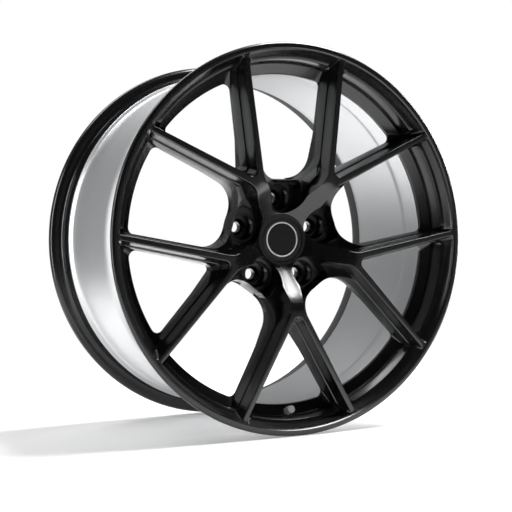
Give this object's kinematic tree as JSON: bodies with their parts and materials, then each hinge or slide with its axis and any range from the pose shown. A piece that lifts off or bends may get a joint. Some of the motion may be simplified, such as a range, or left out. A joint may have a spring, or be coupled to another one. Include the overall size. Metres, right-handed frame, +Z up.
{
  "type": "forged racing wheel rim",
  "caption": "Forged road and track racing wheel with forked Y spokes, deep stepped lip, flow-formed barrel, snap-in centre cap and metal tyre valve.",
  "frame": {"origin": "on the axle, halfway across the rim's overall width", "axes": "+Y along the axle, inboard; -Y is the outboard face; +Z up, through the middle of a wide window; +X completes the frame"},
  "size_m": [0.5172, 0.2648, 0.5172],
  "materials": {
    "black_paint": "satin-gloss black paint over forged aluminium",
    "barrel_silver": "satin, fine turning marks under clear coat",
    "cap_plastic": "satin black moulded plastic",
    "badge_gloss": "gloss black disc",
    "badge_ring_bright": "bright ring",
    "spring_steel": "drawn spring wire",
    "valve_metal": "satin machined metal",
    "valve_rubber": "matt black rubber",
    "core_brass": "machined brass"
  },
  "bodies": {
    "wheel": {"face_ring": "black_paint", "barrel": "barrel_silver", "inner_flange": "black_paint", "hub_centre": "black_paint", "y_spoke_1": "black_paint", "y_spoke_2": "black_paint", "y_spoke_3": "black_paint", "y_spoke_4": "black_paint", "y_spoke_5": "black_paint", "valve_stem": "valve_metal", "valve_grommet": "valve_rubber", "valve_washer": "valve_metal", "valve_nut": "valve_metal", "valve_core_body": "core_brass", "valve_core_spring": "spring_steel"},
    "centre_cap": {"cap_body": "cap_plastic", "cap_badge": "badge_gloss", "cap_badge_ring": "badge_ring_bright", "cap_spring_ring": "spring_steel"},
    "valve_pin": {"valve_core_pin": "core_brass"},
    "dust_cap": {"valve_dust_cap": "valve_metal", "valve_cap_seal": "valve_rubber"}
  },
  "joints": [
    {"name": "centre_cap_pull", "type": "slide", "parent": "wheel", "child": "centre_cap", "axis": [0, -1, 0], "range_m": [0, 0.025]},
    {"name": "dust_cap_pull", "type": "slide", "parent": "wheel", "child": "dust_cap", "axis": [0, -0.9458, 0.3247], "range_m": [0, 0.014]},
    {"name": "valve_pin_press", "type": "slide", "parent": "wheel", "child": "valve_pin", "axis": [0, 0.9458, -0.3247], "range_m": [0, 0.0012], "stiffness_N_per_m": 800, "springref_m": -0.001, "deforming": ["valve_core_spring"]}
  ]
}
